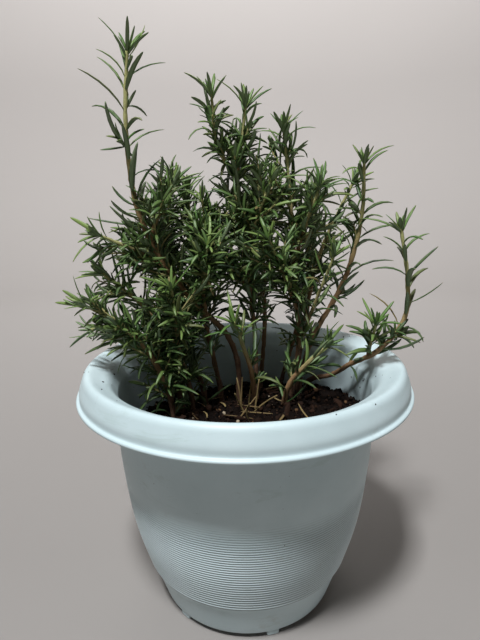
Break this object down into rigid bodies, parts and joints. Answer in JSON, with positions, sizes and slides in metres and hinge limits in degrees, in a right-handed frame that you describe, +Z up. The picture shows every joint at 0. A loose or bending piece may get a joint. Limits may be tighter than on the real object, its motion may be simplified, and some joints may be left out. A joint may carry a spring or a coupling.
{
  "type": "potted rosemary plant",
  "caption": "Young rosemary shrub with upright and trailing leafy stems, growing in dark potting mix in a round tapered plastic planter with a rolled rim and a finely ringed wall.",
  "frame": {"origin": "on the pot's axis, in the plane that its feet stand on", "axes": "+Z up along the pot's axis, -Y towards the front of the plant, +X to the right seen from the front"},
  "size_m": [0.1822, 0.1616, 0.2703],
  "materials": {
    "pot_plastic": "pale mint-blue moulded plastic with a soft satin sheen",
    "potting_mix": "damp dark brown bark and peat mix, crumbly",
    "roots": "pale fibrous roots packed in a ball",
    "woody_stem": "brown flaky bark low down, paler towards the tips",
    "green_twig": "young olive and straw-coloured bark",
    "leaf": "leathery dark green needles with a grey-green underside"
  },
  "bodies": {
    "root": {"pot": "pot_plastic", "soil": "potting_mix", "root_ball": "roots", "left_leader": "woody_stem", "left_leader_leaves": "leaf", "centre_leader": "woody_stem", "centre_leader_leaves": "leaf", "right_leader": "woody_stem", "right_leader_leaves": "leaf", "right_arch": "woody_stem", "right_arch_leaves": "leaf", "right_inner": "woody_stem", "right_inner_leaves": "leaf", "far_right_trailer": "woody_stem", "far_right_trailer_leaves": "leaf", "back_right": "woody_stem", "back_right_leaves": "leaf", "left_low": "woody_stem", "left_low_leaves": "leaf", "left_low_outer": "woody_stem", "left_low_outer_leaves": "leaf", "left_mid": "woody_stem", "left_mid_leaves": "leaf", "left_inner": "woody_stem", "left_inner_leaves": "leaf", "centre_left": "woody_stem", "centre_left_leaves": "leaf", "centre_back": "woody_stem", "centre_back_leaves": "leaf", "front_sprig": "woody_stem", "front_sprig_leaves": "leaf", "front_right_sprig": "woody_stem", "front_right_sprig_leaves": "leaf", "left_leader_twig_1": "green_twig", "left_leader_twig_1_leaves": "leaf", "left_leader_twig_2": "green_twig", "left_leader_twig_2_leaves": "leaf", "left_leader_twig_3": "green_twig", "left_leader_twig_3_leaves": "leaf", "centre_leader_twig_1": "green_twig", "centre_leader_twig_1_leaves": "leaf", "centre_leader_twig_2": "green_twig", "centre_leader_twig_2_leaves": "leaf", "centre_leader_twig_3": "green_twig", "centre_leader_twig_3_leaves": "leaf", "right_leader_twig_1": "green_twig", "right_leader_twig_1_leaves": "leaf", "right_leader_twig_2": "green_twig", "right_leader_twig_2_leaves": "leaf", "right_leader_twig_3": "green_twig", "right_leader_twig_3_leaves": "leaf", "far_right_trailer_twig_1": "green_twig", "far_right_trailer_twig_1_leaves": "leaf", "left_mid_twig_1": "green_twig", "left_mid_twig_1_leaves": "leaf", "centre_left_twig_1": "green_twig", "centre_left_twig_1_leaves": "leaf"}
  },
  "joints": []
}
